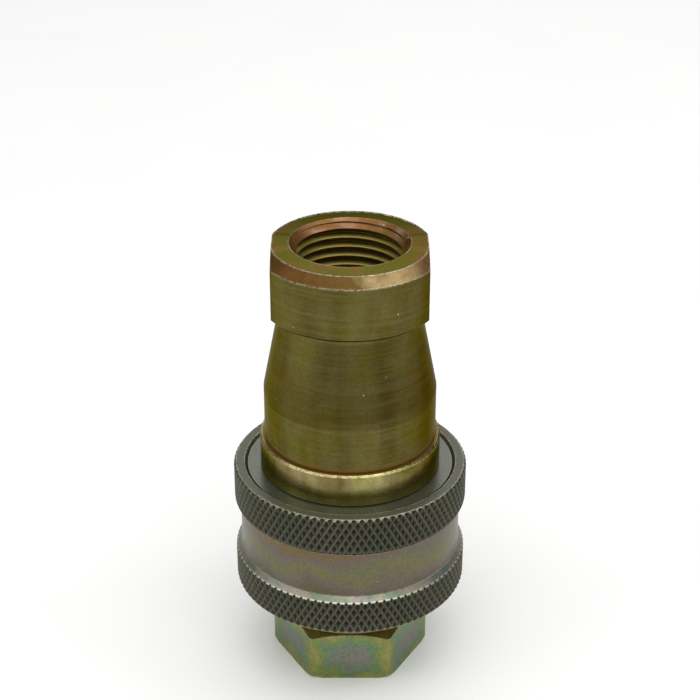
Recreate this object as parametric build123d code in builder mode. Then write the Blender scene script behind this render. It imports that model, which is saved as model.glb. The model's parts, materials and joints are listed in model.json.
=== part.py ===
from build123d import *
import os
from math import cos, radians, tan

# A poppet-type quick disconnect coupler for 1/2 inch hydraulic lines, shown connected and locked.
# The nipple stands on its hexagon end at z = 0, and the coupler is plugged over it, axis +Z.
# Each half holds the same spring-loaded valve, so the internals are made once, measured as a
# depth from the half's own end face, and the coupler's are the nipple's turned end for end.

# ---- driving dimensions, millimetres ----
height = 88.3               # end face to end face
clear = 0.05                # sliding and assembly clearance between neighbours
edge = 0.3                  # small edge breaks

# port and valve bore, the same in both halves
port_r = 9.2                # 1/2-14 NPT thread, at its minor radius
port_mouth_r = 11.1         # countersink at the end face
port_depth = 15.5
guide_r = 8.9
guide_depth = 19.5
guide_thickness = 2.5
guide_ring_thickness = 1.1
chamber_r = 8.6             # flow bore around the valve
seat_r = 5.65               # valve opening through the nose
seat_wall = 1.7             # wall thickness around that opening

# valve, open as shown
valve_tip_gap = 0.03        # from the valve's tip to the middle of the coupling
valve_r = 7.4
valve_cone_top_r = 5.5
stem_r = 2.4
stem_length = 27.6
button_r = 2.2
button_neck_r = 1.6
valve_seal_r = 5.95         # to the centre of the O-ring's wire
valve_seal_drop = 7.06      # below the valve's tip
valve_seal_wire_r = 0.8
hub_r = 4.0
valve_coil_r = 5.0
valve_wire = 1.2
valve_spring_length = 12.55
valve_coils = 6

# nipple outside, from the hexagon to the nose
hex_flats = 27.0
hex_top = 10.4
hex_bottom_bevel = 1.0
hex_top_bevel = 2.0
neck_r = 13.1
land_r = 13.4               # fills the coupler's mouth
land_bottom = 15.4
land_top = 20.0
groove_r = 11.7             # locking groove for the balls
groove_bottom = 24.0
groove_top = 25.95
groove_lip = 1.2
shoulder_r = 13.0           # the balls pull against its lower edge
shoulder_top = 31.5
probe_r = 11.75             # sealing diameter
probe_foot = 34.5
nose_z = 44.0
nose_edge = 0.7

# coupler adapter
adapter_r = 16.3
adapter_cylinder_top = 59.2
adapter_waist_r = 13.4
adapter_waist_height = 1.9  # short neck under the collar
collar_r = 16.5
collar_flats = 28.5         # across two wrench flats
collar_height = 12.3
collar_chamfer = 2.0
spigot_r = 13.95            # the end that screws into the body
spigot_bottom = 41.25
probe_bore_r = 11.87
body_seal_wire_r = 0.75
body_seal_z = 47.9
body_seal_groove_height = 1.8

# coupler body, which carries the balls
body_r = 16.4
body_bottom = 17.0
body_bore_r = 13.1
body_mouth_r = 13.6
body_mouth_top = 20.2
body_mouth_cone_top = 22.6
body_bore_top = 32.6
body_bore_cone_top = 35.9
body_seal_step = 37.9
body_ring_r = 17.2
body_ring_bottom = 42.4
body_top = 49.0

# seals on the probe
backup_thickness = 1.0
probe_seal_wire_r = 1.1
probe_seal_z = 40.1

# locking balls
ball_count = 8
ball_r = 2.38
ball_z = 25.0
ball_orbit_r = 14.18
ball_hole_r = 2.44
ball_lip_r = 2.28           # keeps the balls from falling inwards
ball_lip_start = 13.42

# sleeve with its spring, washer and snap ring
sleeve_bottom = 17.0
sleeve_top = 42.8
sleeve_rim_break = 0.4      # both edges of the rear rim
sleeve_knurl_r = 22.4
sleeve_front_knurl_top = 24.1
sleeve_plain_r = 21.25
sleeve_plain_bottom = 25.3
sleeve_plain_top = 34.7
sleeve_rear_knurl_bottom = 35.5
sleeve_cavity_r = 19.9      # room for the sleeve spring
sleeve_land_r = 16.54       # holds the balls in the nipple's groove
sleeve_land_bottom = 25.55
sleeve_land_top = 28.0
sleeve_release_r = 17.85    # lets them out
sleeve_release_top = 20.0
sleeve_recess_r = 18.7      # clears the snap ring
sleeve_recess_top = 19.4
sleeve_coil_r = 18.2
sleeve_wire = 1.8
sleeve_spring_length = 13.1
sleeve_coils = 4
washer_r = 19.75
washer_thickness = 1.2
snap_ring_inner_r = 15.6
snap_ring_outer_r = 18.3
snap_ring_bottom = 18.0
snap_ring_thickness = 1.3

# ---- the two ends, and shared shapes ----
nipple_end = Plane.XY
coupler_end = Plane(origin=(0, 0, height), x_dir=(1, 0, 0), z_dir=(0, 0, -1))
valve_tip = height / 2 - valve_tip_gap


def section(end):
    """The plane through the axis, with X the radius and Y the depth from an end face."""
    return Plane(origin=end.origin, x_dir=end.x_dir, z_dir=-end.y_dir)


def flow_bore(end):
    """Port, guide seat, ring groove, valve chamber and valve opening, as one solid to cut."""
    countersink = port_mouth_r - port_r
    guide_bore_r = guide_r + clear
    guide_seat = guide_depth + guide_thickness
    ring_groove_r = guide_bore_r + 0.85
    ring_groove_start = guide_depth - guide_ring_thickness - 0.1
    seat_foot = nose_z - seat_wall
    with BuildPart() as bore:
        with BuildSketch(section(end)):
            with BuildLine():
                Polyline(
                    (0, 0),
                    (port_mouth_r, 0),
                    (port_r, countersink),
                    (port_r, port_depth),
                    (guide_bore_r, port_depth),
                    (guide_bore_r, ring_groove_start),
                    (ring_groove_r, ring_groove_start),
                    (ring_groove_r, guide_depth),
                    (guide_bore_r, guide_depth),
                    (guide_bore_r, guide_seat),
                    (chamber_r, guide_seat),
                    (chamber_r, seat_foot - (chamber_r - seat_r)),
                    (seat_r, seat_foot),
                    (seat_r, nose_z + 1),
                    (0, nose_z + 1),
                    close=True,
                )
            make_face()
        revolve(axis=Axis.Z)
    return bore.part


def poppet(end):
    """Valve head, stem and the button that the other half's valve pushes."""
    head_back = valve_tip - 9.5
    cone_foot = valve_tip - 7.5
    cone_top = valve_tip - 5.6
    neck = valve_tip - 1.7
    stem_end = valve_tip - stem_length
    with BuildPart() as valve:
        with BuildSketch(section(end)):
            with BuildLine():
                Polyline(
                    (button_neck_r, neck),
                    (button_r, neck + 0.5),
                    (button_r, valve_tip - edge),
                    (button_r - edge, valve_tip),
                    (0, valve_tip),
                    (0, stem_end),
                    (stem_r - edge, stem_end),
                    (stem_r, stem_end + edge),
                    (stem_r, head_back),
                    (valve_r, head_back),
                    (valve_r, cone_foot),
                    (valve_cone_top_r, cone_top),
                )
                ThreePointArc((valve_cone_top_r, cone_top), (2.7, neck - 1.8), (button_neck_r, neck))
            make_face()
        revolve(axis=Axis.Z)
        with BuildSketch(section(end)):
            with Locations((valve_seal_r, valve_tip - valve_seal_drop)):
                Circle(valve_seal_wire_r + 0.02)
        revolve(axis=Axis.Z, mode=Mode.SUBTRACT)
    return valve.part


def o_ring(end, ring_r, depth, wire_r):
    """A round seal with its wire's centre at ring_r and at a depth from an end face."""
    with BuildPart() as ring:
        with BuildSketch(section(end)):
            with Locations((ring_r, depth)):
                Circle(wire_r)
        revolve(axis=Axis.Z)
    return ring.part


def split_ring(plane, inner_r, outer_r, thickness, gap):
    """A flat retaining ring with a gap, on a plane, thickness along the plane's normal."""
    with BuildPart() as ring:
        with BuildSketch(plane):
            Circle(outer_r)
            Circle(inner_r, mode=Mode.SUBTRACT)
            with Locations((0, outer_r)):
                Rectangle(gap, 2 * outer_r - inner_r, mode=Mode.SUBTRACT)
        extrude(amount=thickness)
    return ring.part


def flat_ring(plane, inner_r, outer_r, thickness):
    """A plain washer on a plane."""
    with BuildPart() as ring:
        with BuildSketch(plane):
            Circle(outer_r)
            Circle(inner_r, mode=Mode.SUBTRACT)
        extrude(amount=thickness)
    return ring.part


def valve_guide(end):
    """Rim, three webs and a hub that the valve's stem slides in."""
    rim_inner_r = guide_r - 1.8
    web_length = rim_inner_r - hub_r + 1
    web_width = 2.0
    hub_length = 2 * guide_thickness
    with BuildPart() as guide:
        with BuildSketch(end.offset(guide_depth)):
            Circle(guide_r)
            Circle(rim_inner_r, mode=Mode.SUBTRACT)
            with PolarLocations((hub_r + rim_inner_r) / 2, 3, start_angle=90):
                Rectangle(web_length, web_width)
        extrude(amount=guide_thickness)
        with BuildSketch(end.offset(guide_depth)):
            Circle(hub_r)
        extrude(amount=hub_length)
        with BuildSketch(end.offset(guide_depth)):
            Circle(stem_r + clear)
        extrude(amount=hub_length, mode=Mode.SUBTRACT)
    return guide.part


def coil_spring(plane, coil_r, wire, length, coils):
    """A compression spring standing on a plane, its length measured over the wire."""
    rise = length - wire
    foot = plane.offset(wire / 2)
    with BuildPart() as spring:
        with BuildLine():
            coil = Helix(rise / coils, rise, coil_r, center=foot.origin, direction=foot.z_dir)
        with BuildSketch(Plane(origin=coil @ 0, z_dir=coil % 0)):
            Circle(wire / 2)
        sweep(path=coil, is_frenet=True)
    return spring.part


# ---- nipple: the male half ----
nipple_bore = flow_bore(nipple_end)
hex_corner_r = hex_flats / 2 / cos(radians(30))
hex_slope = tan(radians(30))
with BuildPart() as nipple_body:
    with BuildSketch(Plane.XZ):
        with BuildLine():
            Polyline(
                (0, 0),
                (hex_corner_r - hex_bottom_bevel, 0),
                (hex_corner_r, hex_bottom_bevel * hex_slope),
                (hex_corner_r, hex_top - hex_top_bevel * hex_slope),
                (hex_corner_r - hex_top_bevel, hex_top),
                (neck_r, hex_top),
                (neck_r, land_bottom),
                (land_r, land_bottom),
                (land_r, land_top),
                (groove_r + groove_lip, groove_bottom - groove_lip),
                (groove_r, groove_bottom),
                (groove_r, groove_top),
                (shoulder_r, groove_top + shoulder_r - groove_r),
                (shoulder_r, shoulder_top),
                (probe_r, probe_foot),
                (probe_r, nose_z - nose_edge),
                (probe_r - nose_edge, nose_z),
                (0, nose_z),
                close=True,
            )
        make_face()
    revolve(axis=Axis.Z)
    with BuildSketch(Plane.XY):
        Circle(hex_corner_r + 1)
        RegularPolygon(hex_flats / 2, 6, major_radius=False, mode=Mode.SUBTRACT)
    extrude(amount=hex_top, mode=Mode.SUBTRACT)
    add(nipple_bore, mode=Mode.SUBTRACT)

# ---- coupler adapter: the female half's threaded end ----
coupler_bore = flow_bore(coupler_end)
collar_bottom = height - collar_height
body_seal_floor_r = spigot_r - 2 * body_seal_wire_r - clear
body_seal_groove_bottom = body_seal_z - body_seal_groove_height / 2
body_seal_groove_top = body_seal_z + body_seal_groove_height / 2
with BuildPart() as coupler_adapter:
    with BuildSketch(Plane.XZ):
        with BuildLine():
            Polyline(
                (0, spigot_bottom),
                (spigot_r, spigot_bottom),
                (spigot_r, body_seal_groove_bottom),
                (body_seal_floor_r, body_seal_groove_bottom),
                (body_seal_floor_r, body_seal_groove_top),
                (spigot_r, body_seal_groove_top),
                (spigot_r, body_top),
                (adapter_r - edge, body_top),
                (adapter_r, body_top + edge),
                (adapter_r, adapter_cylinder_top),
                (adapter_waist_r, collar_bottom - adapter_waist_height),
                (adapter_waist_r, collar_bottom),
                (collar_r - edge, collar_bottom),
                (collar_r, collar_bottom + edge),
                (collar_r, height - collar_chamfer),
                (collar_r - collar_chamfer, height),
                (0, height),
                close=True,
            )
        make_face()
    revolve(axis=Axis.Z)
    with BuildSketch(Plane.XY.offset(collar_bottom)):
        Circle(collar_r + 1)
        Rectangle(collar_flats, 3 * collar_r, mode=Mode.SUBTRACT)
    extrude(amount=collar_height, mode=Mode.SUBTRACT)
    with BuildSketch(Plane.XY.offset(spigot_bottom)):
        Circle(probe_bore_r)
    extrude(amount=height - nose_z - spigot_bottom, mode=Mode.SUBTRACT)
    add(coupler_bore, mode=Mode.SUBTRACT)

# ---- coupler body: carries the balls, and the adapter screws into its top ----
snap_groove_r = snap_ring_inner_r - 0.1
snap_groove_bottom = snap_ring_bottom - clear
snap_groove_top = snap_ring_bottom + snap_ring_thickness + clear
with BuildPart() as coupler_body:
    with BuildSketch(Plane.XZ):
        with BuildLine():
            Polyline(
                (body_mouth_r, body_bottom),
                (body_r - edge, body_bottom),
                (body_r, body_bottom + edge),
                (body_r, snap_groove_bottom),
                (snap_groove_r, snap_groove_bottom),
                (snap_groove_r, snap_groove_top),
                (body_r, snap_groove_top),
                (body_r, body_ring_bottom),
                (body_ring_r - edge, body_ring_bottom),
                (body_ring_r, body_ring_bottom + edge),
                (body_ring_r, body_top - edge),
                (body_ring_r - edge, body_top),
                (spigot_r + clear, body_top),
                (spigot_r + clear, body_seal_step),
                (probe_bore_r, body_seal_step),
                (probe_bore_r, body_bore_cone_top),
                (body_bore_r, body_bore_top),
                (body_bore_r, body_mouth_cone_top),
                (body_mouth_r, body_mouth_top),
                close=True,
            )
        make_face()
    revolve(axis=Axis.Z)
    for index in range(ball_count):
        outward = Vector(1, 0, 0).rotate(Axis.Z, index * 360 / ball_count)
        lip = Vector(0, 0, ball_z) + outward * ball_lip_start
        with BuildSketch(Plane(origin=lip, z_dir=outward)):
            Circle(ball_hole_r)
        extrude(amount=body_r, mode=Mode.SUBTRACT)
        with BuildSketch(Plane(origin=lip, z_dir=-outward)):
            Circle(ball_lip_r)
        extrude(amount=2, mode=Mode.SUBTRACT)

# ---- sleeve: pulled back, towards +Z, to let the balls out ----
with BuildPart() as sleeve:
    with BuildSketch(Plane.XZ):
        with BuildLine():
            Polyline(
                (sleeve_recess_r, sleeve_bottom),
                (sleeve_knurl_r - 3 * edge, sleeve_bottom),
                (sleeve_knurl_r, sleeve_bottom + 3 * edge),
                (sleeve_knurl_r, sleeve_front_knurl_top),
                (sleeve_plain_r, sleeve_plain_bottom),
                (sleeve_plain_r, sleeve_plain_top),
                (sleeve_knurl_r, sleeve_rear_knurl_bottom),
                (sleeve_knurl_r, sleeve_top - sleeve_rim_break),
                (sleeve_knurl_r - sleeve_rim_break, sleeve_top),
                (sleeve_cavity_r + sleeve_rim_break, sleeve_top),
                (sleeve_cavity_r, sleeve_top - sleeve_rim_break),
                (sleeve_cavity_r, sleeve_land_top),
                (sleeve_land_r, sleeve_land_top),
                (sleeve_land_r, sleeve_land_bottom),
                (sleeve_release_r, sleeve_release_top),
                (sleeve_release_r, sleeve_recess_top),
                (sleeve_recess_r, sleeve_recess_top),
                close=True,
            )
        make_face()
    revolve(axis=Axis.Z)

# ---- locking balls ----
balls = []
for index in range(ball_count):
    centre = Vector(ball_orbit_r, 0, ball_z).rotate(Axis.Z, index * 360 / ball_count)
    with BuildPart() as ball:
        with Locations(centre):
            Sphere(ball_r)
    balls.append(ball.part)

# ---- every piece by name ----
probe_seal_r = probe_r + probe_seal_wire_r + 0.02
body_seal_r = spigot_r - body_seal_wire_r
backup_plane = Plane.XY.offset(body_seal_step + clear)
washer_plane = Plane.XY.offset(body_ring_bottom - washer_thickness)
spring_plane = Plane.XY.offset(sleeve_land_top + clear)
snap_plane = Plane.XY.offset(snap_ring_bottom)
pieces = {
    "nipple_body": nipple_body.part,
    "coupler_adapter": coupler_adapter.part,
    "coupler_body": coupler_body.part,
    "body_seal": o_ring(nipple_end, body_seal_r, body_seal_z, body_seal_wire_r),
    "interface_o_ring": o_ring(nipple_end, probe_seal_r, probe_seal_z, probe_seal_wire_r),
    "backup_ring": flat_ring(backup_plane, probe_r + clear, spigot_r, backup_thickness),
    "spring_washer": flat_ring(washer_plane, body_r + clear, washer_r, washer_thickness),
    "sleeve": sleeve.part,
    "sleeve_spring": coil_spring(
        spring_plane, sleeve_coil_r, sleeve_wire, sleeve_spring_length, sleeve_coils
    ),
    "sleeve_snap_ring": split_ring(
        snap_plane, snap_ring_inner_r, snap_ring_outer_r, snap_ring_thickness, gap=4.0
    ),
}
for half, end in (("nipple", nipple_end), ("coupler", coupler_end)):
    seal_depth = valve_tip - valve_seal_drop
    spring_foot = end.offset(guide_depth + guide_thickness + clear)
    ring_foot = end.offset(guide_depth - guide_ring_thickness - clear)
    pieces[half + "_poppet"] = poppet(end)
    pieces[half + "_poppet_seal"] = o_ring(end, valve_seal_r, seal_depth, valve_seal_wire_r)
    pieces[half + "_valve_guide"] = valve_guide(end)
    pieces[half + "_guide_ring"] = split_ring(
        ring_foot, guide_r - 1.0, guide_r + 0.8, guide_ring_thickness, gap=3.0
    )
    pieces[half + "_valve_spring"] = coil_spring(
        spring_foot, valve_coil_r, valve_wire, valve_spring_length, valve_coils
    )
for number, ball in enumerate(balls, start=1):
    pieces[f"ball_{number}"] = ball

os.makedirs("parts", exist_ok=True)
for name, piece in pieces.items():
    piece.label = name
    export_step(piece, f"parts/{name}.step")
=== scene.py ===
"""Looks for the quick disconnect coupler: turned and knurled skins, springs, materials, studio."""
import json
from math import acos, cos, pi, radians, sin, tan

import bmesh
import bpy
import numpy as np
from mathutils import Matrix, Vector


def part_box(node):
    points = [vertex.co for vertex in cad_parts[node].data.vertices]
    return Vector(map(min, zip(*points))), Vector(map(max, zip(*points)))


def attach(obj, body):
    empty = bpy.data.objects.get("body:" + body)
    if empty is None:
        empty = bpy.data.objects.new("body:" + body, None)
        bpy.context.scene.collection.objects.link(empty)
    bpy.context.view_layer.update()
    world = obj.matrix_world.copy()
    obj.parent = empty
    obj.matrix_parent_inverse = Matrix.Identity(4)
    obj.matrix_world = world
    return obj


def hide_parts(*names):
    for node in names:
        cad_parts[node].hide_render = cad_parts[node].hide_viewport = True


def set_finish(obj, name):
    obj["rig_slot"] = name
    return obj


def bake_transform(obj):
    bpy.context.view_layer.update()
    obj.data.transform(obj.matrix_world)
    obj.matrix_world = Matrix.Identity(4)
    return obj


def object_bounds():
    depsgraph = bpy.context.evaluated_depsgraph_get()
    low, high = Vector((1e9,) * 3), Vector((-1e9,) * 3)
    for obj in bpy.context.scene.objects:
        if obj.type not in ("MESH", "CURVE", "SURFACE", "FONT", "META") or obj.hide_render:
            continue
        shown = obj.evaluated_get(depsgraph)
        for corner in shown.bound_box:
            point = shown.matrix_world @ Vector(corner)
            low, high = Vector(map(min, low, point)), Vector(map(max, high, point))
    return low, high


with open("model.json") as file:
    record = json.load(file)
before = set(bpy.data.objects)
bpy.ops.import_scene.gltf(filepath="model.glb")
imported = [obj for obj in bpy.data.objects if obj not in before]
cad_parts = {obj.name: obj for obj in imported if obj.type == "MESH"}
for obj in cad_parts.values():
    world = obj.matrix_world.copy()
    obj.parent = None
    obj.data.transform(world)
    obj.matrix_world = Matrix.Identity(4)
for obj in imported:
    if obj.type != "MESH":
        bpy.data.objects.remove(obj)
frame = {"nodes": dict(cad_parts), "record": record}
cad_low, cad_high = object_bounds()

MM = 0.001                      # the meshes are worked out in millimetres
SHARP_ANGLE = radians(28)

# 1/2-14 NPT thread, as cut in both ports
THREAD_PITCH = 1.814
THREAD_DEPTH = 0.95
THREAD_CREST = 0.12             # flat share of the pitch at crest and root
THREAD_TAPER = 1 / 32           # radius gained per unit of length towards the mouth
THREAD_ROWS = 16                # mesh rows per turn
PORT_R = 9.2
PORT_LENGTH = 15.5
COUNTERSINK = 1.9

# sizes shared by the internals of both halves, as depths from an end face
GUIDE_R = 8.95
CHAMBER_R = 8.6
RING_GROOVE_R = 9.8
RING_GROOVE = (18.3, 19.5)
GUIDE_SEAT = 22.0
SEAT_R = 5.65
NOSE = 44.0
SEAT_WALL = 1.7

CYLINDER_LENGTH = 10.2          # the adapter's plain part, from the body's ring up to the cone
HEXAGON_TOP = 10.4
PLAIN_BAND = (25.3, 34.7)       # the sleeve's band between the knurls, and the bevels beside it
LOWER_KNURL_TOP = 24.1
UPPER_KNURL_FOOT = 35.5

# the adapter
SPIGOT_R = 13.95
PROBE_BORE_R = 11.87
BODY_SEAL_GROOVE = (47.0, 48.8)
BODY_SEAL_GROOVE_DEPTH = 1.55
CYLINDER_R = 16.3
WAIST_R = 13.4
WAIST_HEIGHT = 1.9              # the short neck under the collar
COLLAR_HEIGHT = 12.3
COLLAR_FLATS = 28.5
COLLAR_CHAMFER = 2.0
COLLAR_FOOT_CHAMFER = 0.5

# the nipple, from its hexagon to its nose
NECK_R = 13.1
LAND_R = 13.4
LAND = (15.4, 20.0)
LAND_CONE = (12.9, 22.8)        # radius and height where the cone turns to the ball groove
BALL_GROOVE_R = 11.7
BALL_GROOVE = (24.0, 25.95)
SHOULDER_R = 13.0
SHOULDER = (27.25, 31.5)
PROBE_R = 11.75
PROBE_FOOT = 34.5

# the sleeve's outside edges and stepped bore
PLAIN_R = 21.25
FOOT_BEVEL = 0.9
RIM_BEVEL = 0.4
RECESS_R = 18.7                 # clears the snap ring
RECESS_TOP = 19.4
RELEASE_R = 17.85               # lets the balls move out
RELEASE_TOP = 20.0
LOCK_LAND_R = 16.54             # holds the balls in
LOCK_LAND = (25.55, 28.0)
CAVITY_R = 19.9                 # room for the sleeve spring
CAVITY_MOUTH_R = 20.3

# coil springs
VALVE_WIRE = 1.2
VALVE_TURNS = 6
SLEEVE_WIRE = 1.8
SLEEVE_TURNS = 4

KNURL_COUNT = 96                # diamonds round the sleeve
KNURL_HEIGHT = 2.54             # of one diamond, for ridges 30 degrees from the axis
KNURL_DEPTH = 0.45
KNURL_STEPS = 8                 # mesh steps across one diamond
BEVEL_STEP = 0.1                # finer rows where a bevel cuts through the knurl

ROUNDING_STEPS = 3              # mesh steps round an edge of an outline
EDGE_RADIUS = 0.45              # how near an edge shows wear
MIX_FIRST, MIX_SECOND, MIX_RESULT = 6, 7, 2     # colour sockets of the Mix node


def box_mm(node):
    """Lowest and highest corner of a CAD node at rest, in millimetres."""
    low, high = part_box(node)
    return low / MM, high / MM


# ---------------------------------------------------------------- meshes

def rounded(corners):
    """Points along a closed outline of (radius, height, rounding) corners, as many for every angle."""
    points = []
    for index, (r, z, rounding) in enumerate(corners):
        here = np.array((r, z))
        if not rounding:
            points.append(here)
            continue
        back = np.array(corners[index - 1][:2]) - here
        ahead = np.array(corners[(index + 1) % len(corners)][:2]) - here
        back_length, ahead_length = np.linalg.norm(back), np.linalg.norm(ahead)
        if min(back_length, ahead_length) < 1e-6:
            points += [here] * (ROUNDING_STEPS + 1)
            continue
        back, ahead = back / back_length, ahead / ahead_length
        half_angle = acos(np.clip(back @ ahead, -1, 1)) / 2
        reach = min(rounding / tan(half_angle), 0.45 * back_length, 0.45 * ahead_length)
        for share in np.linspace(0, 1, ROUNDING_STEPS + 1):
            points.append(here + back * reach * (1 - share) ** 2 + ahead * reach * share**2)
    return points


def shell(name, angles, outlines, seam=None, folds=None):
    """A closed skin through one outline per angle.

    seam maps the last column's rows to the first's. folds tells for a column and a row whether the
    quad folds along one diagonal (1), the other (-1) or stays whole (0).
    """
    rows = len(outlines[0])
    seam = seam or list(range(rows))
    angles = np.asarray(angles)[:, None]
    outlines = np.asarray(outlines, float)
    radii, heights = outlines[..., 0], outlines[..., 1]
    places = np.stack((radii * np.cos(angles), radii * np.sin(angles), heights), axis=-1) * MM
    faces = []
    for column in range(len(angles)):
        here = column * rows
        there = here + rows
        last = column == len(angles) - 1
        for row in range(rows):
            above = (row + 1) % rows
            beside = (seam[row], seam[above]) if last else (there + row, there + above)
            quad = (here + row, beside[0], beside[1], here + above)
            fold = folds(column, row) if folds else 0
            if fold == 1:
                faces += [quad[:3], (quad[0], quad[2], quad[3])]
            elif fold == -1:
                faces += [(quad[0], quad[1], quad[3]), quad[1:]]
            else:
                faces.append(quad)
    return solid(name, places.reshape(-1, 3), faces)


def solid(name, places, faces):
    """An object from points in metres and faces, with doubles merged and smooth shading up to a crease."""
    mesh = bpy.data.meshes.new(name)
    mesh.from_pydata([tuple(place) for place in places], [], faces)
    work = bmesh.new()
    work.from_mesh(mesh)
    bmesh.ops.remove_doubles(work, verts=work.verts, dist=2e-7)
    bmesh.ops.dissolve_degenerate(work, edges=work.edges, dist=1e-7)
    bmesh.ops.recalc_face_normals(work, faces=work.faces)
    work.to_mesh(mesh)
    work.free()
    mesh.shade_smooth()
    mesh.set_sharp_from_angle(angle=SHARP_ANGLE)
    piece = bpy.data.objects.new(name, mesh)
    bpy.context.scene.collection.objects.link(piece)
    normals = piece.modifiers.new("normals", "WEIGHTED_NORMAL")
    normals.keep_sharp = True
    return piece


def prism_reach(angle, flats, sides, turn=0.0):
    """Distance from the axis to a prism's side in a direction, its flats that far apart."""
    step = 2 * pi / sides
    off = (angle - turn + step / 2) % step - step / 2
    return flats / 2 / cos(off)


def thread_radius(z, depth, angle):
    """Radius of the threaded port at a height, a depth from its mouth and an angle."""
    turn = (z - THREAD_PITCH * angle / (2 * pi)) / THREAD_PITCH % 1
    groove = THREAD_DEPTH * np.clip((abs(2 * turn - 1) - THREAD_CREST) / (1 - 2 * THREAD_CREST), 0, 1)
    crest = PORT_R + THREAD_TAPER * max(PORT_LENGTH - COUNTERSINK - depth, 0)
    runout = np.clip((PORT_LENGTH - depth) / 1.2, 0, 1)
    mouth = PORT_R + COUNTERSINK - depth
    return max(crest + groove * runout, mouth)


def port_rows(angle, face, inward):
    """Rows of a threaded port from its mouth to its end; each row follows the thread's helix."""
    rise = THREAD_PITCH / THREAD_ROWS
    count = int((PORT_LENGTH + 2 * THREAD_PITCH) / rise) + 2
    rows = []
    for row in range(count):
        depth = (row - THREAD_ROWS) * rise + inward * THREAD_PITCH * angle / (2 * pi)
        depth = min(max(depth, 0), PORT_LENGTH)
        z = face + inward * depth
        rows.append((thread_radius(z, depth, angle), z))
    return rows


def port_seam(before, rows, after, inward):
    """How a port's rows meet across the first angle, one turn of the thread on."""
    last = before + rows - 1
    ported = [min(max(before + row + inward * THREAD_ROWS, before), last) for row in range(rows)]
    return list(range(before)) + ported + list(range(last + 1, last + 1 + after))


def chamber_corners(face, inward):
    """The bore past the thread: guide seat, ring groove, valve chamber, valve seat and opening."""
    seat_foot = NOSE - SEAT_WALL
    depths = (
        (GUIDE_R, PORT_LENGTH),
        (GUIDE_R, RING_GROOVE[0]),
        (RING_GROOVE_R, RING_GROOVE[0]),
        (RING_GROOVE_R, RING_GROOVE[1]),
        (GUIDE_R, RING_GROOVE[1]),
        (GUIDE_R, GUIDE_SEAT),
        (CHAMBER_R, GUIDE_SEAT),
        (CHAMBER_R, seat_foot - (CHAMBER_R - SEAT_R)),
        (SEAT_R, seat_foot),
    )
    return [(r, face + inward * depth, 0.0) for r, depth in depths]


def ported_piece(name, face, inward, angles, corners_at):
    """A turned piece with a threaded port: corners_at gives the outline from the nose to the port's face."""
    outlines = []
    for angle in angles:
        outside = rounded(corners_at(angle))
        port = port_rows(angle, face, inward)
        inside = [corner[:2] for corner in chamber_corners(face, inward)]
        outlines.append(outside + port + inside)
    seam = port_seam(len(outside), len(port), len(inside), inward)
    return shell(name, angles, outlines, seam)


def even_angles(count, extra=()):
    """Angles round a full turn, with some extra ones where a flat ends."""
    return sorted(set(np.linspace(0, 2 * pi, count, endpoint=False)) | set(extra))


def make_adapter():
    """The coupler's threaded end: spigot, cylinder, cone and a collar with two wrench flats."""
    low, high = box_mm("coupler_adapter")
    ring_top = box_mm("coupler_body")[1].z
    cone_foot = ring_top + CYLINDER_LENGTH
    collar_bottom = high.z - COLLAR_HEIGHT
    collar_radii = (high.y - COLLAR_FOOT_CHAMFER, high.y - COLLAR_CHAMFER, high.y)
    groove_r = SPIGOT_R - BODY_SEAL_GROOVE_DEPTH
    nose = high.z - NOSE

    def corners(angle):
        reach = prism_reach(angle, COLLAR_FLATS, 2)
        inner, middle, outer = [min(r, reach) for r in collar_radii]
        return [
            (SEAT_R, nose, 0.1),
            (PROBE_BORE_R, nose, 0.0),
            (PROBE_BORE_R, low.z, 0.1),
            (SPIGOT_R, low.z, 0.1),
            (SPIGOT_R, BODY_SEAL_GROOVE[0], 0.0),
            (groove_r, BODY_SEAL_GROOVE[0], 0.0),
            (groove_r, BODY_SEAL_GROOVE[1], 0.0),
            (SPIGOT_R, BODY_SEAL_GROOVE[1], 0.0),
            (SPIGOT_R, ring_top, 0.0),
            (CYLINDER_R, ring_top, 0.15),
            (CYLINDER_R, cone_foot, 0.6),
            (WAIST_R, collar_bottom - WAIST_HEIGHT, 1.2),
            (WAIST_R, collar_bottom, 0.3),
            (inner, collar_bottom, 0.12),
            (outer, collar_bottom + outer - inner, 0.15),
            (outer, high.z - (outer - middle), 0.18),
            (middle, high.z, 0.18),
        ]

    flat_edges = [acos(COLLAR_FLATS / 2 / r) for r in collar_radii]
    extra = [turn for edge in flat_edges for turn in (edge, pi - edge, pi + edge, 2 * pi - edge)]
    piece = ported_piece("adapter_turned", high.z, -1, even_angles(240, extra), corners)
    return finish_piece(piece, "coupler", "coupler_adapter", "adapter_plating")


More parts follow.
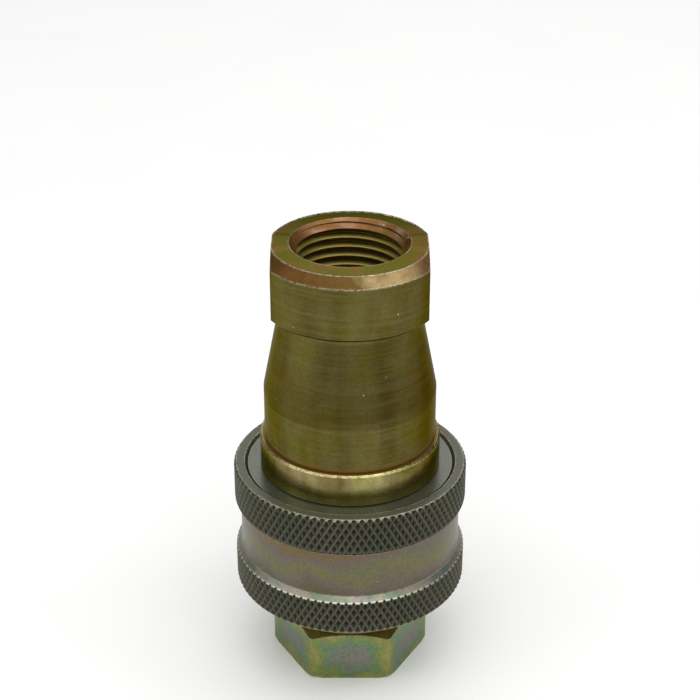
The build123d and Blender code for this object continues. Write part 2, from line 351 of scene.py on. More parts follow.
def make_nipple():
    """The nipple: hexagon, neck, land, ball groove, shoulder, probe and nose."""
    low, high = box_mm("nipple_body")
    flats, corner_r = high.y * 2, high.x - 0.25
    slope = tan(radians(30))
    top_r, bottom_r = high.x - 2.0, high.x - 1.0

    def corners(angle):
        reach = min(prism_reach(angle, flats, 6, turn=pi / 6), corner_r)
        upper, lower = min(top_r, reach), min(bottom_r, reach)
        return [
            (lower, low.z, 0.15),
            (reach, low.z + slope * (reach - lower), 0.2),
            (reach, HEXAGON_TOP - slope * (reach - upper), 0.2),
            (upper, HEXAGON_TOP, 0.1),
            (NECK_R, HEXAGON_TOP, 0.6),
            (NECK_R, LAND[0], 0.3),
            (LAND_R, LAND[0], 0.15),
            (LAND_R, LAND[1], 0.3),
            (*LAND_CONE, 0.2),
            (BALL_GROOVE_R, BALL_GROOVE[0], 0.4),
            (BALL_GROOVE_R, BALL_GROOVE[1], 0.4),
            (SHOULDER_R, SHOULDER[0], 0.25),
            (SHOULDER_R, SHOULDER[1], 0.6),
            (PROBE_R, PROBE_FOOT, 0.6),
            (PROBE_R, high.z, 0.7),
            (SEAT_R, high.z, 0.15),
        ]

    def from_nose(angle):
        return corners(angle)[::-1]

    piece = ported_piece("nipple_turned", low.z, 1, even_angles(240), from_nose)
    return finish_piece(piece, "nipple", "nipple_body", "nipple_plating")


def knurl_band(bottom, top, radius, lower_bevel, upper_bevel):
    """Heights and a function of angle for pyramid pits between crossing ridges, bevelled at both ends."""
    step = KNURL_HEIGHT / KNURL_STEPS
    even = np.arange(bottom, top - upper_bevel, step)
    heights = np.append(even, np.arange(even[-1] + BEVEL_STEP, top, BEVEL_STEP))
    up = (heights - bottom) / KNURL_HEIGHT
    limit = radius - np.maximum(np.maximum(bottom + lower_bevel - heights, heights - top + upper_bevel), 0)

    def radii(angle):
        across = KNURL_COUNT * angle / (2 * pi)
        from_ridge = [abs(np.round(turn) - turn) for turn in (across + up, across - up)]
        return np.minimum(radius - KNURL_DEPTH * 2 * np.minimum(*from_ridge), limit)

    return heights, radii, len(even)


def ridge_fold(column, row):
    """Which way a quad of the knurl's grid folds so that both families of ridges stay straight."""
    if (column + row + 1) % KNURL_STEPS == 0:
        return -1
    return 1 if (column - row) % KNURL_STEPS == 0 else 0


def make_sleeve():
    """The pull-back sleeve: two knurled bands, a plain band between, and the stepped bore."""
    low, high = box_mm("sleeve")
    knurl_r, bottom, top = high.x, low.z, high.z
    pit_r = knurl_r - KNURL_DEPTH
    lower_end, upper_end = LOWER_KNURL_TOP + KNURL_DEPTH, UPPER_KNURL_FOOT - KNURL_DEPTH
    lower = knurl_band(bottom, lower_end, knurl_r, FOOT_BEVEL, KNURL_DEPTH)
    upper = knurl_band(upper_end, top, knurl_r, KNURL_DEPTH, RIM_BEVEL)
    foot = [
        (RECESS_R, RECESS_TOP, 0),
        (RECESS_R, bottom, 0.15),
        (knurl_r - FOOT_BEVEL, bottom, 0),
    ]
    foot = rounded(foot)[1:-1]
    band = [
        (pit_r, lower_end, 0.0),
        (PLAIN_R, PLAIN_BAND[0], 0.25),
        (PLAIN_R, PLAIN_BAND[1], 0.25),
        (pit_r, upper_end - 0.05, 0.0),
    ]
    band = rounded([(knurl_r, 24, 0)] + band + [(knurl_r, 36, 0)])[1:-1]
    bore = [
        (knurl_r - RIM_BEVEL, top, 0.1),
        (CAVITY_MOUTH_R, top, 0.1),
        (CAVITY_R, top - RIM_BEVEL, 0.1),
        (CAVITY_R, LOCK_LAND[1], 0.3),
        (LOCK_LAND_R, LOCK_LAND[1], 0.2),
        (LOCK_LAND_R, LOCK_LAND[0], 0.3),
        (RELEASE_R, RELEASE_TOP, 0.1),
        (RELEASE_R, RECESS_TOP, 0.1),
        (RECESS_R, RECESS_TOP, 0.1),
    ]
    bore = rounded([(knurl_r, top - RIM_BEVEL, 0)] + bore + [(RECESS_R, bottom, 0)])[1:-1]
    lower_start = len(foot)
    upper_start = lower_start + len(lower[0]) + len(band)

    def folds(column, row):
        for start, (_, _, even) in ((lower_start, lower), (upper_start, upper)):
            if start <= row < start + even - 1:
                return ridge_fold(column, row - start)
        return 0

    angles = even_angles(KNURL_COUNT * KNURL_STEPS)
    outlines = []
    for angle in angles:
        bands = [list(zip(radii(angle), heights)) for heights, radii, _ in (lower, upper)]
        outlines.append(foot + bands[0] + band + bands[1] + bore)
    piece = shell("sleeve_knurled", angles, outlines, folds=folds)
    return finish_piece(piece, "sleeve", "sleeve", "sleeve_plating")


def make_spring(name, node, wire, turns, slot):
    """A coil spring with closed ends, filling the length of its CAD spring at rest."""
    low, high = box_mm(node)
    coil_r = high.x - wire / 2
    steps, sides = 48 * turns, 10
    places = []
    for step in range(steps + 1):
        share = step / steps
        ease = share * share * (3 - 2 * share)
        z = low.z + wire / 2 + (high.z - low.z - wire) * (0.6 * ease + 0.4 * share)
        turn = 2 * pi * turns * share
        for side in range(sides):
            around = 2 * pi * side / sides
            r = coil_r + wire / 2 * cos(around)
            places.append((r * cos(turn) * MM, r * sin(turn) * MM, (z + wire / 2 * sin(around)) * MM))
    faces = [tuple(range(sides)), tuple(steps * sides + side for side in range(sides))]
    for step in range(steps):
        for side in range(sides):
            beside = (side + 1) % sides
            here = step * sides
            faces.append((here + side, here + beside, here + sides + beside, here + sides + side))
    piece = solid(name, places, faces)
    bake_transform(piece)
    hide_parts(node)
    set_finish(piece, slot)
    return piece


def finish_piece(piece, body, node, slot):
    """Puts a finished skin on its body, in place of the CAD node it stands for."""
    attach(piece, body)
    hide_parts(node)
    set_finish(piece, slot)
    return piece


# ---------------------------------------------------------------- materials

class Shader:
    """A material's nodes, with one short method per kind of node used here."""

    def __init__(self, name):
        self.material = bpy.data.materials.new(name)
        self.material.use_nodes = True
        self.tree = self.material.node_tree
        self.tree.nodes.clear()
        place = self.add("TexCoord")
        scaled = self.add("VectorMath", {0: place.outputs["Object"], 1: (1 / MM,) * 3}, operation="MULTIPLY")
        self.point = scaled.outputs[0]
        self.x, self.y, self.z = self.split(self.point)
        squares = [self.math("MULTIPLY", part, part) for part in (self.x, self.y)]
        self.radius = self.math("SQRT", self.math("ADD", *squares))
        self.angle = self.math("ARCTAN2", self.y, self.x)
        self.lean = self.split(place.outputs["Normal"])[2]

    def add(self, kind, inputs=None, **settings):
        node = self.tree.nodes.new("ShaderNode" + kind)
        for key, value in settings.items():
            setattr(node, key, value)
        for key, value in (inputs or {}).items():
            self.feed(node.inputs[key], value)
        return node

    def feed(self, socket, value):
        if isinstance(value, bpy.types.NodeSocket):
            self.tree.links.new(value, socket)
        elif socket.type == "RGBA":
            socket.default_value = (*value, 1.0)
        else:
            socket.default_value = value

    def math(self, operation, *values):
        return self.add("Math", dict(enumerate(values)), operation=operation).outputs[0]

    def split(self, vector):
        return self.add("SeparateXYZ", {0: vector}).outputs[:]

    def vector(self, x, y, z):
        return self.add("CombineXYZ", {0: x, 1: y, 2: z}).outputs[0]

    def noise(self, vector, scale, detail=2.0):
        """Smooth noise from 0 to 1 around 0.5; scale is in cycles per millimetre."""
        node = self.add("TexNoise", {"Vector": vector, "Scale": scale, "Detail": detail})
        return node.outputs[0]

    def spread(self, value, low, high):
        """value brought to 0 at low and 1 at high, and held there."""
        node = self.add("MapRange", {"Value": value, "From Min": low, "From Max": high})
        return node.outputs[0]

    def band(self, value, low, high, soft):
        """1 between low and high, falling to 0 over a soft distance on either side."""
        rise = self.spread(value, low - soft, low)
        fall = self.spread(value, high + soft, high)
        return self.math("MULTIPLY", rise, fall)

    def ramp(self, value, stops):
        node = self.add("ValToRGB", {0: value})
        elements = node.color_ramp.elements
        while len(elements) < len(stops):
            elements.new(1.0)
        for element, (place, colour) in zip(elements, stops):
            element.position = place
            element.color = (*colour, 1.0)
        return node.outputs[0]

    def mix(self, share, first, second, blend="MIX"):
        inputs = {"Factor": share, MIX_FIRST: first, MIX_SECOND: second}
        return self.add("Mix", inputs, data_type="RGBA", blend_type=blend).outputs[MIX_RESULT]

    def edges(self):
        """About 1 on sharp edges and 0 on flat or gently curved surfaces."""
        soft = self.add("Bevel", {"Radius": EDGE_RADIUS * MM}, samples=4).outputs[0]
        true = self.add("NewGeometry").outputs["Normal"]
        agree = self.add("VectorMath", {0: soft, 1: true}, operation="DOT_PRODUCT").outputs["Value"]
        return self.spread(agree, 0.99, 0.93)

    def turning_marks(self, coarse=1.6):
        """Circular tool marks: noise that changes along the profile and hardly round the axis."""
        radial = self.math("ADD", self.radius, self.math("MULTIPLY", self.x, 0.02))
        around = self.vector(radial, self.math("MULTIPLY", self.y, 0.02), self.z)
        broad = self.noise(around, coarse, 2.0)
        narrow = self.noise(around, 6.0, 3.0)
        return self.math("ADD", self.math("MULTIPLY", broad, 0.5), self.math("MULTIPLY", narrow, 0.5))

    def streaks(self, dark):
        """Painted reflection: soft upright stripes round the axis, from a dark tone to white, to multiply a
        colour by, for the light and dark bands the metal mirrors.
        """
        across = [self.math("MULTIPLY", part, 0.16) for part in (self.x, self.y)]
        stripes = self.noise(self.vector(*across, self.math("MULTIPLY", self.z, 0.02)), 1.0, 2.0)
        return self.ramp(stripes, ((0.36, dark), (0.60, (1.0, 1.0, 1.0))))

    def finish(self, colour, metallic, roughness, bump=None, bump_mm=0.02, **extra):
        inputs = {"Base Color": colour, "Metallic": metallic, "Roughness": roughness}
        inputs.update({key.replace("_", " "): value for key, value in extra.items()})
        if bump is not None:
            bumped = self.add("Bump", {"Height": bump, "Strength": 1.0, "Distance": bump_mm * MM})
            inputs["Normal"] = bumped.outputs[0]
        surface = self.add("BsdfPrincipled", inputs)
        output = self.add("OutputMaterial")
        self.tree.links.new(surface.outputs[0], output.inputs[0])
        return self.material


def film_colour(shader, stops, size=0.085, drift=0.25):
    """The chromate film's colour: soft patches of interference tints, shifting towards grazing view."""
    patches = shader.noise(shader.point, size, 2.5)
    fine = shader.noise(shader.point, size * 7, 3.0)
    facing = shader.add("LayerWeight", {"Blend": 0.35}).outputs["Facing"]
    value = shader.math("ADD", shader.spread(patches, 0.3, 0.7), shader.math("MULTIPLY", facing, drift))
    value = shader.math("ADD", value, shader.math("MULTIPLY", shader.math("SUBTRACT", fine, 0.5), 0.35))
    return shader.ramp(value, stops)


def grained(shader, colour, dark):
    """The colour with a fine irregular grain, down to a share of its brightness."""
    grain = shader.ramp(shader.noise(shader.point, 1.8, 5.0), ((0.36, (dark,) * 3), (0.60, (1.0,) * 3)))
    return shader.mix(1.0, colour, grain, "MULTIPLY")


def worn(shader, colour, bright, amount=0.8, where=1.0):
    """Bright metal showing through along the edges, broken up by noise, and in a few small nicks."""
    broken = shader.spread(shader.noise(shader.point, 1.6, 3.0), 0.35, 0.6)
    edges = shader.math("MULTIPLY", shader.math("MULTIPLY", shader.edges(), broken), amount)
    nicks = shader.spread(shader.noise(shader.point, 1.1, 1.0), 0.80, 0.83)
    share = shader.math("MAXIMUM", shader.math("MULTIPLY", edges, where), nicks)
    return shader.mix(share, colour, bright)


def mouth_copper(shader):
    """Coppery film of the port's mouth: brown in front on the chamfer, with a painted highlight as a pale
    patch at its right.
    """
    inner = shader.ramp(shader.noise(shader.point, 0.20, 4.0), (
        (0.30, (0.130, 0.080, 0.020)),
        (0.46, (0.220, 0.105, 0.040)),
        (0.54, (0.250, 0.125, 0.070)),
        (0.72, (0.420, 0.310, 0.150)),
    ))
    mottle = shader.math("MULTIPLY", shader.noise(shader.point, 0.35, 4.0), 20.0)
    along = shader.math("ADD", mottle, shader.x)
    # painted highlight: the pale stop at 0.72 lightens the right of the collar's chamfer; the other stops are
    # the copper film
    outer = shader.ramp(shader.spread(along, -10.0, 30.0), (
        (0.10, (0.170, 0.084, 0.026)),
        (0.32, (0.115, 0.058, 0.016)),
        (0.50, (0.090, 0.055, 0.016)),
        (0.72, (0.290, 0.210, 0.100)),
        (0.90, (0.210, 0.110, 0.050)),
    ))
    return shader.mix(shader.spread(shader.radius, 13.0, 13.2), inner, outer)


def adapter_plating():
    """Olive-gold chromate with turning lines, a coppery mouth and a brown stain above the body, with painted
    reflection streaks, painted shade on the right and on the cone, and a painted highlight on the collar's
    chamfer.
    """
    shader = Shader("adapter_plating")
    film = film_colour(shader, (
        (0.0, (0.112, 0.090, 0.018)),
        (0.3, (0.122, 0.106, 0.016)),
        (0.55, (0.128, 0.112, 0.034)),
        (0.8, (0.118, 0.088, 0.018)),
        (1.0, (0.104, 0.094, 0.030)),
    ))
    # painted reflection: upright light and dark streaks over the film
    film = shader.mix(1.0, film, shader.streaks((0.66, 0.60, 0.48)), "MULTIPLY")
    marks = shader.turning_marks()
    film = shader.mix(shader.spread(marks, 0.45, 0.88), film, (0.168, 0.152, 0.070))
    # painted shade: the film darkened towards the right side
    film = shader.mix(shader.spread(shader.x, 9.0, 16.0), film, (0.62, 0.50, 0.34), "MULTIPLY")
    joint = box_mm("coupler_body")[1].z
    cone_foot = joint + CYLINDER_LENGTH
    # painted shade: the cone and the top of the cylinder darkened
    painted_cone_shade = shader.math("MULTIPLY", shader.spread(shader.z, cone_foot - 1.6, cone_foot - 1.2),
                       shader.spread(shader.z, cone_foot + 13, cone_foot + 1))
    film = shader.mix(shader.math("MULTIPLY", painted_cone_shade, 0.8), film, (0.74, 0.68, 0.55), "MULTIPLY")
    flat = shader.spread(shader.lean, 0.90, 0.97)
    ends = shader.spread(shader.math("ABSOLUTE", shader.x), 9.0, 15.0)
    rusty = shader.math("ADD", shader.noise(shader.point, 0.12, 3.0), shader.math("MULTIPLY", ends, 0.12))
    face = shader.ramp(rusty, (
        (0.44, (0.124, 0.114, 0.026)),
        (0.54, (0.144, 0.116, 0.034)),
        (0.62, (0.185, 0.096, 0.040)),
    ))
    film = shader.mix(shader.math("MULTIPLY", flat, 0.9), film, face)
    mouth_low = cad_high.z / MM - 2.6
    slope = shader.band(shader.lean, 0.55, 0.85, 0.08)
    mouth = shader.math("MULTIPLY", slope, shader.spread(shader.z, mouth_low, mouth_low + 0.3))
    film = shader.mix(mouth, film, mouth_copper(shader))
    inside = shader.spread(shader.radius, 10.9, 10.5)
    gold = shader.mix(shader.noise(shader.point, 0.4), (0.200, 0.180, 0.026), (0.260, 0.180, 0.060))
    film = shader.mix(shader.math("MULTIPLY", inside, shader.math("SUBTRACT", 1.0, mouth)), film, gold)
    stain = shader.math("MULTIPLY", shader.band(shader.z, joint - 1, joint + 0.3, 1.2), 0.8)
    film = shader.mix(stain, film, (0.140, 0.074, 0.007))
    open_edge = shader.math("MULTIPLY", shader.spread(shader.radius, 11.0, 11.3),
                            shader.spread(shader.z, 80.0, 81.0))
    film = worn(shader, grained(shader, film, 0.86), (0.66, 0.62, 0.48), 1.0, where=open_edge)
    roughness = shader.math("ADD", 0.27, shader.math("MULTIPLY", marks, 0.16))
    roughness = shader.math("ADD", roughness, shader.math("MULTIPLY", mouth, 0.08))
    metallic = shader.math("SUBTRACT", 1.0, shader.math("MULTIPLY", stain, 0.6))
    tint = (0.60, 0.56, 0.40)
    return shader.finish(film, metallic, roughness, marks, 0.006, Anisotropic=0.4, Specular_Tint=tint)


def body_plating():
    """Brighter gold chromate on the ball-carrying body, mottled green and brown, stained on top, with painted
    reflection streaks, painted shade on its right and a painted reflection on its lower part.
    """
    shader = Shader("body_plating")
    high = box_mm("coupler_body")[1]
    film = film_colour(shader, (
        (0.0, (0.090, 0.082, 0.016)),
        (0.3, (0.260, 0.248, 0.060)),
        (0.55, (0.385, 0.340, 0.150)),
        (0.8, (0.315, 0.236, 0.100)),
        (1.0, (0.215, 0.215, 0.062)),
    ), size=0.12)
    # painted reflection: upright light and dark streaks over the film
    film = shader.mix(1.0, film, shader.streaks((0.40, 0.36, 0.25)), "MULTIPLY")
    # painted shade: the film darkened towards the right side
    film = shader.mix(shader.spread(shader.x, 6.0, 15.0), film, (0.42, 0.36, 0.18), "MULTIPLY")
    # painted reflection: the ring's lower part and the body below it turned brighter yellow-green
    lower = shader.spread(shader.z, high.z - 2.5, high.z - 6.0)
    film = shader.mix(shader.math("MULTIPLY", lower, 0.8), film, (0.330, 0.310, 0.070))
    marks = shader.turning_marks(coarse=0.8)
    film = worn(shader, grained(shader, film, 0.84), (0.66, 0.62, 0.36), 1.0)
    ledge = shader.math("MULTIPLY", shader.spread(shader.z, high.z - 0.1, high.z),
                        shader.spread(shader.radius, high.x - 0.35, high.x - 0.5))
    film = shader.mix(ledge, film, (0.150, 0.078, 0.012))
    metallic = shader.math("SUBTRACT", 1.0, shader.math("MULTIPLY", ledge, 0.7))
    roughness = shader.math("ADD", 0.20, shader.math("MULTIPLY", marks, 0.14))
    tint = (0.60, 0.56, 0.38)
    return shader.finish(film, metallic, roughness, marks, 0.006, Anisotropic=0.3, Specular_Tint=tint)


def hexagon_inset(shader, flats, top):
    """Distance in millimetres from the nearest edge of a hexagon's face."""
    step = pi / 3
    turned = shader.math("FLOORED_MODULO", shader.math("ADD", shader.angle, 4 * pi), step)
    across = shader.math("ABSOLUTE", shader.math("TANGENT", shader.math("SUBTRACT", turned, step / 2)))
    aside = shader.math("MULTIPLY", shader.math("SUBTRACT", tan(step / 2), across), flats / 2)
    below = shader.math("SUBTRACT", top, shader.z)
    return shader.math("MINIMUM", aside, shader.math("MINIMUM", shader.z, below))


def nipple_plating():
    """Yellow-green film that turns teal and violet away from the hexagon's edges, with painted brown shade on
    the neck and the hexagon's top.
    """
    shader = Shader("nipple_plating")
    high = box_mm("nipple_body")[1]
    film = film_colour(shader, (
        (0.0, (0.150, 0.130, 0.060)),
        (0.3, (0.130, 0.125, 0.065)),
        (0.6, (0.165, 0.145, 0.085)),
        (0.8, (0.140, 0.140, 0.075)),
        (1.0, (0.170, 0.145, 0.120)),
    ), size=0.11, drift=0.35)
    drift = shader.math("SUBTRACT", shader.noise(shader.point, 0.24, 7.0), 0.5)
    cloud = shader.math("MULTIPLY", drift, 9.0)
    inset = shader.math("ADD", hexagon_inset(shader, high.y * 2, HEXAGON_TOP), cloud)
    tints = shader.ramp(shader.spread(inset, -0.5, 5.5), (
        (0.0, (0.320, 0.310, 0.105)),
        (0.25, (0.230, 0.275, 0.095)),
        (0.45, (0.170, 0.265, 0.130)),
        (0.7, (0.195, 0.235, 0.180)),
        (1.0, (0.260, 0.225, 0.190)),
    ))
    film = shader.mix(shader.spread(shader.z, HEXAGON_TOP, HEXAGON_TOP - 0.4), film, tints)
    marks = shader.turning_marks()
    neck = shader.spread(shader.z, HEXAGON_TOP, HEXAGON_TOP + 0.2)
    hidden = shader.math("MAXIMUM", shader.spread(shader.lean, 0.3, 0.6), neck)
    # painted shade: the neck and the hexagon's top under the sleeve turned brown and less metallic, tinted
    # like the gold they mirror
    shaded = shader.math("MULTIPLY", hidden, shader.band(shader.z, 9.0, 17.0, 0.4))
    brown = shader.mix(shader.spread(shader.noise(shader.point, 0.3), 0.4, 0.6), (0.160, 0.080, 0.012),
                       (0.150, 0.125, 0.026))
    film = shader.mix(shader.math("MULTIPLY", shaded, 0.9), film, brown)
    film = worn(shader, grained(shader, film, 0.80), (0.40, 0.40, 0.24), 0.7)
    roughness = shader.math("ADD", 0.30, shader.math("MULTIPLY", marks, 0.12))
    metallic = shader.math("SUBTRACT", 1.0, shader.math("MULTIPLY", shaded, 0.7))
    return shader.finish(film, metallic, roughness, marks, 0.006)


def sleeve_plating():
    """Grey-olive film: violet and olive on the plain band, dark pits in the knurl, bright bevels, a bright
    line that is partly wear and partly painted highlight on the lower knurl's top edge, and a painted
    reflection under the sleeve's bottom.
    """
    shader = Shader("sleeve_plating")
    high = box_mm("sleeve")[1]
    film = film_colour(shader, (
        (0.0, (0.110, 0.092, 0.078)),
        (0.3, (0.125, 0.118, 0.070)),
        (0.5, (0.120, 0.124, 0.078)),
        (0.7, (0.135, 0.115, 0.085)),
        (1.0, (0.110, 0.115, 0.085)),
    ), size=0.10)
    sway = shader.math("MULTIPLY", shader.math("SUBTRACT", shader.noise(shader.point, 0.11, 3.0), 0.5), 12.0)
    height = shader.math("ADD", shader.z, sway)
    bands = shader.ramp(shader.spread(height, PLAIN_BAND[0], PLAIN_BAND[1]), (
        (0.0, (0.140, 0.122, 0.072)),
        (0.2, (0.168, 0.134, 0.116)),
        (0.45, (0.182, 0.172, 0.080)),
        (0.65, (0.170, 0.162, 0.100)),
        (0.82, (0.174, 0.134, 0.120)),
        (1.0, (0.185, 0.138, 0.066)),
    ))
    plain = shader.band(shader.z, PLAIN_BAND[0], UPPER_KNURL_FOOT - 0.2, 0.1)
    film = shader.mix(shader.math("MULTIPLY", plain, 0.85), film, bands)
    stain = shader.band(shader.z, PLAIN_BAND[1] + 0.1, UPPER_KNURL_FOOT - 0.2, 0.5)
    film = shader.mix(shader.math("MULTIPLY", stain, 0.7), film, (0.180, 0.080, 0.022))
    bevel = shader.band(shader.z, LOWER_KNURL_TOP + 0.2, PLAIN_BAND[0], 0.15)
    pearl = shader.ramp(shader.noise(shader.point, 0.13, 3.0), (
        (0.38, (0.190, 0.240, 0.165)),
        (0.48, (0.310, 0.285, 0.220)),
        (0.54, (0.300, 0.255, 0.230)),
        (0.62, (0.180, 0.225, 0.190)),
    ))
    film = shader.mix(shader.math("MULTIPLY", bevel, 0.9), film, pearl)
    # a bright line along the top edge of the lower knurl: partly wear, partly a painted highlight
    worn_and_highlight_line = shader.band(shader.z, LOWER_KNURL_TOP, LOWER_KNURL_TOP + 0.3, 0.06)
    film = shader.mix(worn_and_highlight_line, film, (0.480, 0.470, 0.370))
    flat = shader.spread(shader.lean, 0.90, 0.97)
    film = shader.mix(flat, film, (0.090, 0.090, 0.060))
    film = worn(shader, grained(shader, film, 0.84), (0.62, 0.62, 0.50), 1.0)
    outside = shader.math("MULTIPLY", shader.spread(shader.radius, 21.5, 21.7),
                          shader.spread(shader.lean, 0.62, 0.45))
    between = shader.band(shader.z, LOWER_KNURL_TOP + 0.5, UPPER_KNURL_FOOT - 0.5, 0.05)
    banded = shader.math("SUBTRACT", 1.0, between)
    knurled = shader.math("MULTIPLY", outside, banded)
    film = shader.mix(knurled, film, knurl_colour(shader, high.x))
    # painted reflection: the sleeve's downward faces at its bottom turned light olive-yellow and less
    # metallic
    painted_lip_reflection = shader.math("MULTIPLY", shader.spread(shader.z, 18.3, 17.9), shader.spread(shader.lean, -0.2, -0.5))
    film = shader.mix(painted_lip_reflection, film, (0.230, 0.230, 0.045))
    marks = shader.turning_marks(coarse=0.9)
    roughness = shader.math("ADD", 0.33, shader.math("MULTIPLY", marks, 0.12))
    metallic = shader.math("SUBTRACT", 1.0, shader.math("MULTIPLY", shader.math("MAXIMUM", flat, painted_lip_reflection), 0.7))
    return shader.finish(film, metallic, roughness, marks, 0.006)


def knurl_colour(shader, crest_r):
    """Grey-green ridges over darker pits, both drifting between green and brown."""
    pits = shader.mix(shader.noise(shader.point, 0.5), (0.032, 0.037, 0.022), (0.054, 0.049, 0.033))
    ridges = shader.ramp(shader.noise(shader.point, 0.16, 2.0), (
        (0.38, (0.098, 0.108, 0.080)),
        (0.50, (0.112, 0.108, 0.076)),
        (0.62, (0.124, 0.114, 0.090)),
    ))
    return shader.mix(shader.spread(shader.radius, crest_r - 0.26, crest_r - 0.02), pits, ridges)


def steel(name, colour, bright, roughness, marks_mm=0.006):
    """Plain steel with faint tool marks, patchy tone and brighter edges."""
    shader = Shader(name)
    marks = shader.turning_marks()
    tone = shader.mix(shader.noise(shader.point, 0.35, 3.0), colour, bright)
    tone = worn(shader, tone, tuple(min(1.0, 1.5 * part) for part in bright), 0.5)
    rough = shader.math("ADD", roughness, shader.math("MULTIPLY", marks, 0.15))
    return shader.finish(tone, 1.0, rough, marks, marks_mm)


def washer_steel():
    """Pale plain washer, satin, with fine specks."""
    shader = Shader("washer_steel")
    specks = shader.noise(shader.point, 3.0, 4.0)
    tone = shader.mix(shader.spread(specks, 0.35, 0.65), (0.108, 0.114, 0.094), (0.158, 0.165, 0.138))
    return shader.finish(tone, 0.8, 0.30, specks, 0.005)


def seal_rubber():
    """Black nitrile, lightly oiled, with a faint mould grain."""
    shader = Shader("seal_rubber")
    grain = shader.noise(shader.point, 5.0, 3.0)
    tone = shader.mix(grain, (0.012, 0.012, 0.013), (0.03, 0.03, 0.032))
    rough = shader.math("ADD", 0.38, shader.math("MULTIPLY", grain, 0.2))
    return shader.finish(tone, 0.0, rough, grain, 0.01)


def backup_plastic():
    """White PTFE with a soft waxy look."""
    shader = Shader("backup_plastic")
    cloud = shader.noise(shader.point, 0.6, 3.0)
    tone = shader.mix(cloud, (0.74, 0.74, 0.71), (0.86, 0.86, 0.84))
    return shader.finish(tone, 0.0, 0.45, cloud, 0.01, Subsurface_Weight=0.1)


def make_materials():
    """One material per slot in the record."""
    return {
        "adapter_plating": adapter_plating(),
        "body_plating": body_plating(),
        "nipple_plating": nipple_plating(),
        "sleeve_plating": sleeve_plating(),
        "valve_plating": steel("valve_plating", (0.30, 0.24, 0.10), (0.44, 0.38, 0.20), 0.22),
        "washer_steel": washer_steel(),
        "spring_steel": steel("spring_steel", (0.30, 0.30, 0.30), (0.42, 0.42, 0.43), 0.28),
        "ring_steel": steel("ring_steel", (0.12, 0.12, 0.12), (0.22, 0.22, 0.22), 0.35),
        "ball_steel": steel("ball_steel", (0.66, 0.66, 0.66), (0.74, 0.74, 0.75), 0.08, 0.0005),
        "seal_rubber": seal_rubber(),
        "backup_plastic": backup_plastic(),
    }


def dress(piece, material):
    """Gives a piece one material."""
    piece.data.materials.clear()
    piece.data.materials.append(material)


# ---------------------------------------------------------------- studio

def make_floor():
    """A plain pale round floor, which the coupling stands on."""
    mesh = bpy.data.meshes.new("floor")
    reach, sides = 3.0, 128
    turns = [2 * pi * side / sides for side in range(sides)]
    mesh.from_pydata([(reach * cos(turn), reach * sin(turn), 0) for turn in turns], [], [tuple(range(sides))])
    floor = bpy.data.objects.new("floor", mesh)
    bpy.context.scene.collection.objects.link(floor)
    shader = Shader("floor_paper")
    tone = shader.mix(shader.noise(shader.point, 0.02), (0.84, 0.84, 0.84), (0.87, 0.87, 0.86))
    dress(floor, shader.finish(tone, 0.0, 0.7))


def make_world():
    """A soft studio tent: white behind the object, dimmer and greyer where the metal mirrors it."""
    world = bpy.data.worlds.new("studio")
    world.use_nodes = True
    tree = world.node_tree
    tree.nodes.clear()
    place = tree.nodes.new("ShaderNodeTexCoord")
    split = tree.nodes.new("ShaderNodeSeparateXYZ")
    ramp = tree.nodes.new("ShaderNodeValToRGB")
    tent = tree.nodes.new("ShaderNodeBackground")
    backdrop = tree.nodes.new("ShaderNodeBackground")
    path = tree.nodes.new("ShaderNodeLightPath")
    both = tree.nodes.new("ShaderNodeMixShader")
    output = tree.nodes.new("ShaderNodeOutputWorld")
    stops = ((0.0, 0.28), (0.5, 0.40), (0.75, 0.80), (1.0, 1.70))
    elements = ramp.color_ramp.elements
    while len(elements) < len(stops):
        elements.new(1.0)
    for element, (position, grey) in zip(elements, stops):
        element.position = position
        element.color = (grey, grey, grey, 1.0)
    backdrop.inputs["Color"].default_value = (1.0, 1.0, 1.0, 1.0)
    links = tree.links
    links.new(place.outputs["Generated"], split.inputs[0])
    links.new(split.outputs["Z"], ramp.inputs[0])
    links.new(ramp.outputs[0], tent.inputs["Color"])
    links.new(path.outputs["Is Camera Ray"], both.inputs[0])
    links.new(tent.outputs[0], both.inputs[1])
    links.new(backdrop.outputs[0], both.inputs[2])
    links.new(both.outputs[0], output.inputs[0])
    bpy.context.scene.world = world


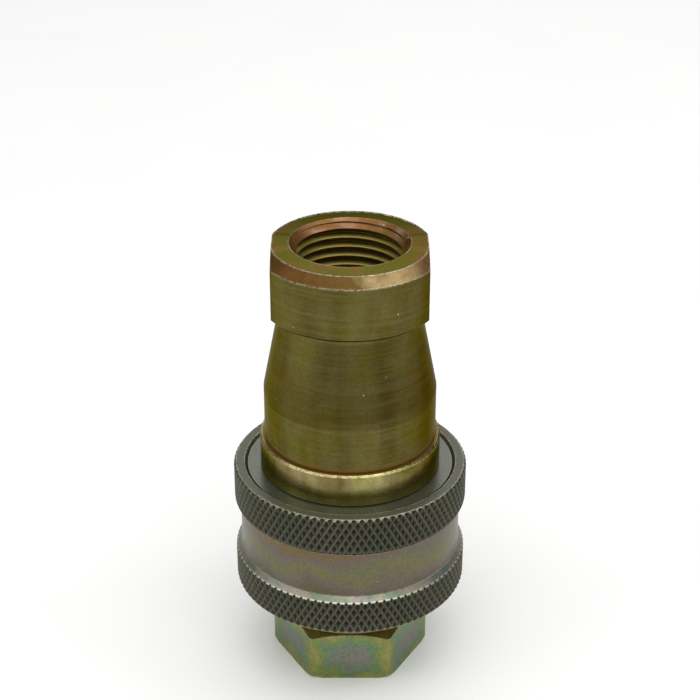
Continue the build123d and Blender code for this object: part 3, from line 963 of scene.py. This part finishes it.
def make_light(name, place, aim, width, height, watts):
    """A rectangular soft light at a place, turned to face a point."""
    data = bpy.data.lights.new(name, "AREA")
    data.shape, data.size, data.size_y = "RECTANGLE", width, height
    data.energy = watts
    light = bpy.data.objects.new(name, data)
    light.location = place
    light.rotation_euler = (Vector(aim) - Vector(place)).to_track_quat("-Z", "Y").to_euler()
    bpy.context.scene.collection.objects.link(light)


def make_camera(middle):
    """The photograph's view: along +Y, from 31 degrees above the object's middle."""
    elevation, distance = radians(31), 0.325
    data = bpy.data.cameras.new("camera")
    data.lens, data.sensor_width = 86.5, 36
    camera = bpy.data.objects.new("camera", data)
    back = Vector((0, -cos(elevation), sin(elevation)))
    camera.location = middle + back * distance
    aim = middle + Vector((0, 0, 0.022))
    camera.rotation_euler = (aim - camera.location).to_track_quat("-Z", "Y").to_euler()
    bpy.context.scene.collection.objects.link(camera)
    bpy.context.scene.camera = camera


# ---------------------------------------------------------------- build

materials = make_materials()
slot_of = {part["node"]: part["material_slot"] for part in frame["record"]["subparts"]}
for node, part in frame["nodes"].items():
    dress(part, materials[slot_of[node]])

skins = [
    make_adapter(),
    make_nipple(),
    make_sleeve(),
    make_spring("nipple_valve_coil", "nipple_valve_spring", VALVE_WIRE, VALVE_TURNS,
                "spring_steel"),
    make_spring("coupler_valve_coil", "coupler_valve_spring", VALVE_WIRE, VALVE_TURNS,
                "spring_steel"),
    make_spring("sleeve_coil", "sleeve_spring", SLEEVE_WIRE, SLEEVE_TURNS,
                "spring_steel"),
]
for skin in skins:
    dress(skin, materials[skin["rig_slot"]])

make_floor()
make_world()
middle = (cad_low + cad_high) / 2
make_light("key", (0.05, -0.40, 0.60), middle, 0.8, 0.5, 1.8)
make_light("side", (0.42, -0.06, 0.58), middle, 0.22, 0.22, 0.5)
make_light("fill", (-0.60, -0.20, 0.35), middle, 0.4, 0.7, 1.0)
make_light("back", (0.10, 0.60, 0.50), middle, 0.7, 0.3, 0.7)
make_camera(middle)
bpy.context.scene.view_settings.view_transform = "Standard"
